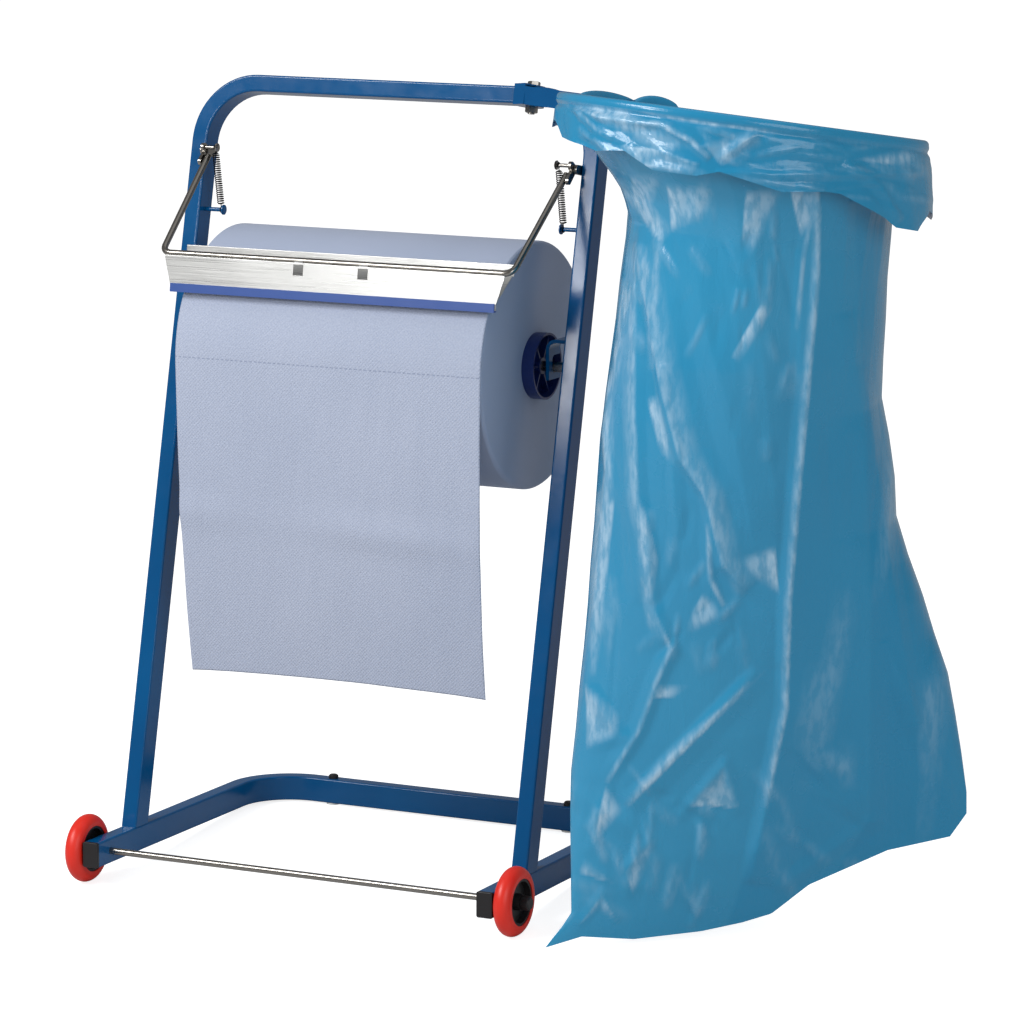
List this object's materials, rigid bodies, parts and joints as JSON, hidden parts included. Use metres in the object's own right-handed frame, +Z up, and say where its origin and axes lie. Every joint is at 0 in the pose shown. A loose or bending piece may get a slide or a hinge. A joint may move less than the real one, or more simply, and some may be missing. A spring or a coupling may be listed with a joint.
{
  "type": "paper towel and bag holder",
  "caption": "Wheeled tubular stand that carries a wide paper roll under a sprung tear bar, with a swivelling hoop that holds a plastic waste bag.",
  "frame": {"origin": "middle of the overall box, bag and hoop included, at floor level, the stand leaned back onto its rear feet", "axes": "+Z up, -Y the side the paper hangs on and the base opens to, +X the side the bag hangs on"},
  "size_m": [1.027, 0.4941, 0.9604],
  "materials": {
    "frame_paint": "gloss blue coating",
    "zinc": "zinc plated",
    "plate_metal": "brushed",
    "strip_plastic": "satin",
    "paper": "matt embossed paper",
    "board": "plain board",
    "film": "thin glossy film",
    "black_plastic": "moulded",
    "plug_plastic": "moulded",
    "orange_tyre": "satin",
    "spring_steel": "black phosphate"
  },
  "bodies": {
    "stand": {"base_frame": "frame_paint", "upright_frame": "frame_paint", "axle_rod": "zinc", "roll_shaft": "zinc", "hanging_sheet": "paper", "holder_bolt": "zinc", "holder_nut": "zinc", "left_end_plug": "black_plastic", "left_rear_foot": "black_plastic", "left_foot_cap": "black_plastic", "left_pivot_lug": "zinc", "left_spring_stud": "zinc", "left_pivot_pin": "zinc", "left_roll_hook": "frame_paint", "left_axle_washer": "zinc", "left_axle_cap": "black_plastic", "right_end_plug": "black_plastic", "right_rear_foot": "black_plastic", "right_foot_cap": "black_plastic", "right_pivot_lug": "zinc", "right_spring_stud": "zinc", "right_pivot_pin": "zinc", "right_roll_hook": "frame_paint", "right_axle_washer": "zinc", "right_axle_cap": "black_plastic"},
    "left_wheel": {"left_tyre": "orange_tyre", "left_hub": "black_plastic"},
    "right_wheel": {"right_tyre": "orange_tyre", "right_hub": "black_plastic"},
    "roll": {"paper_roll": "paper", "roll_core": "board", "left_core_plug": "plug_plastic", "right_core_plug": "plug_plastic"},
    "tear_bar": {"tear_bar_rod": "zinc", "tear_plate": "plate_metal", "tear_strip": "strip_plastic", "left_crank": "zinc", "right_crank": "zinc", "left_spring_pin": "zinc", "right_spring_pin": "zinc"},
    "left_spring_body": {"left_spring": "spring_steel"},
    "right_spring_body": {"right_spring": "spring_steel"},
    "bag_holder": {"bag_bracket": "frame_paint", "bag_hoop": "zinc", "waste_bag": "film"}
  },
  "joints": [
    {"name": "left_wheel_spin", "type": "hinge", "parent": "stand", "child": "left_wheel", "pos_m": [-0.49242, -0.15667, 0.04], "axis": [1, 0, 0], "continuous": true},
    {"name": "right_wheel_spin", "type": "hinge", "parent": "stand", "child": "right_wheel", "pos_m": [0.06388, -0.15667, 0.04], "axis": [1, 0, 0], "continuous": true},
    {"name": "roll_spin", "type": "hinge", "parent": "stand", "child": "roll", "pos_m": [-0.21427, 0.0961, 0.60068], "axis": [1, 0, 0], "continuous": true},
    {"name": "tear_bar_lift", "type": "hinge", "parent": "stand", "child": "tear_bar", "pos_m": [-0.21427, 0.11739, 0.82691], "axis": [-1, 0, 0], "range_deg": [0, 100], "deforming": ["left_spring", "right_spring"]},
    {"name": "left_spring_swing", "type": "hinge", "parent": "stand", "child": "left_spring_body", "pos_m": [-0.43852, 0.12041, 0.75651], "axis": [-1, 0, 0], "range_deg": [-0.5, 10.5]},
    {"name": "right_spring_swing", "type": "hinge", "parent": "stand", "child": "right_spring_body", "pos_m": [0.00998, 0.12041, 0.75651], "axis": [-1, 0, 0], "range_deg": [-0.5, 10.5]},
    {"name": "bag_holder_swivel", "type": "hinge", "parent": "stand", "child": "bag_holder", "pos_m": [-0.04597, 0.16227, 0.90143], "axis": [0, 0.2776, 0.9607], "range_deg": [0, 25]}
  ],
  "couplings": [
    {"joint": "left_spring_swing", "follows": "tear_bar_lift", "ratio": 0.09803},
    {"joint": "right_spring_swing", "follows": "tear_bar_lift", "ratio": 0.09803}
  ]
}
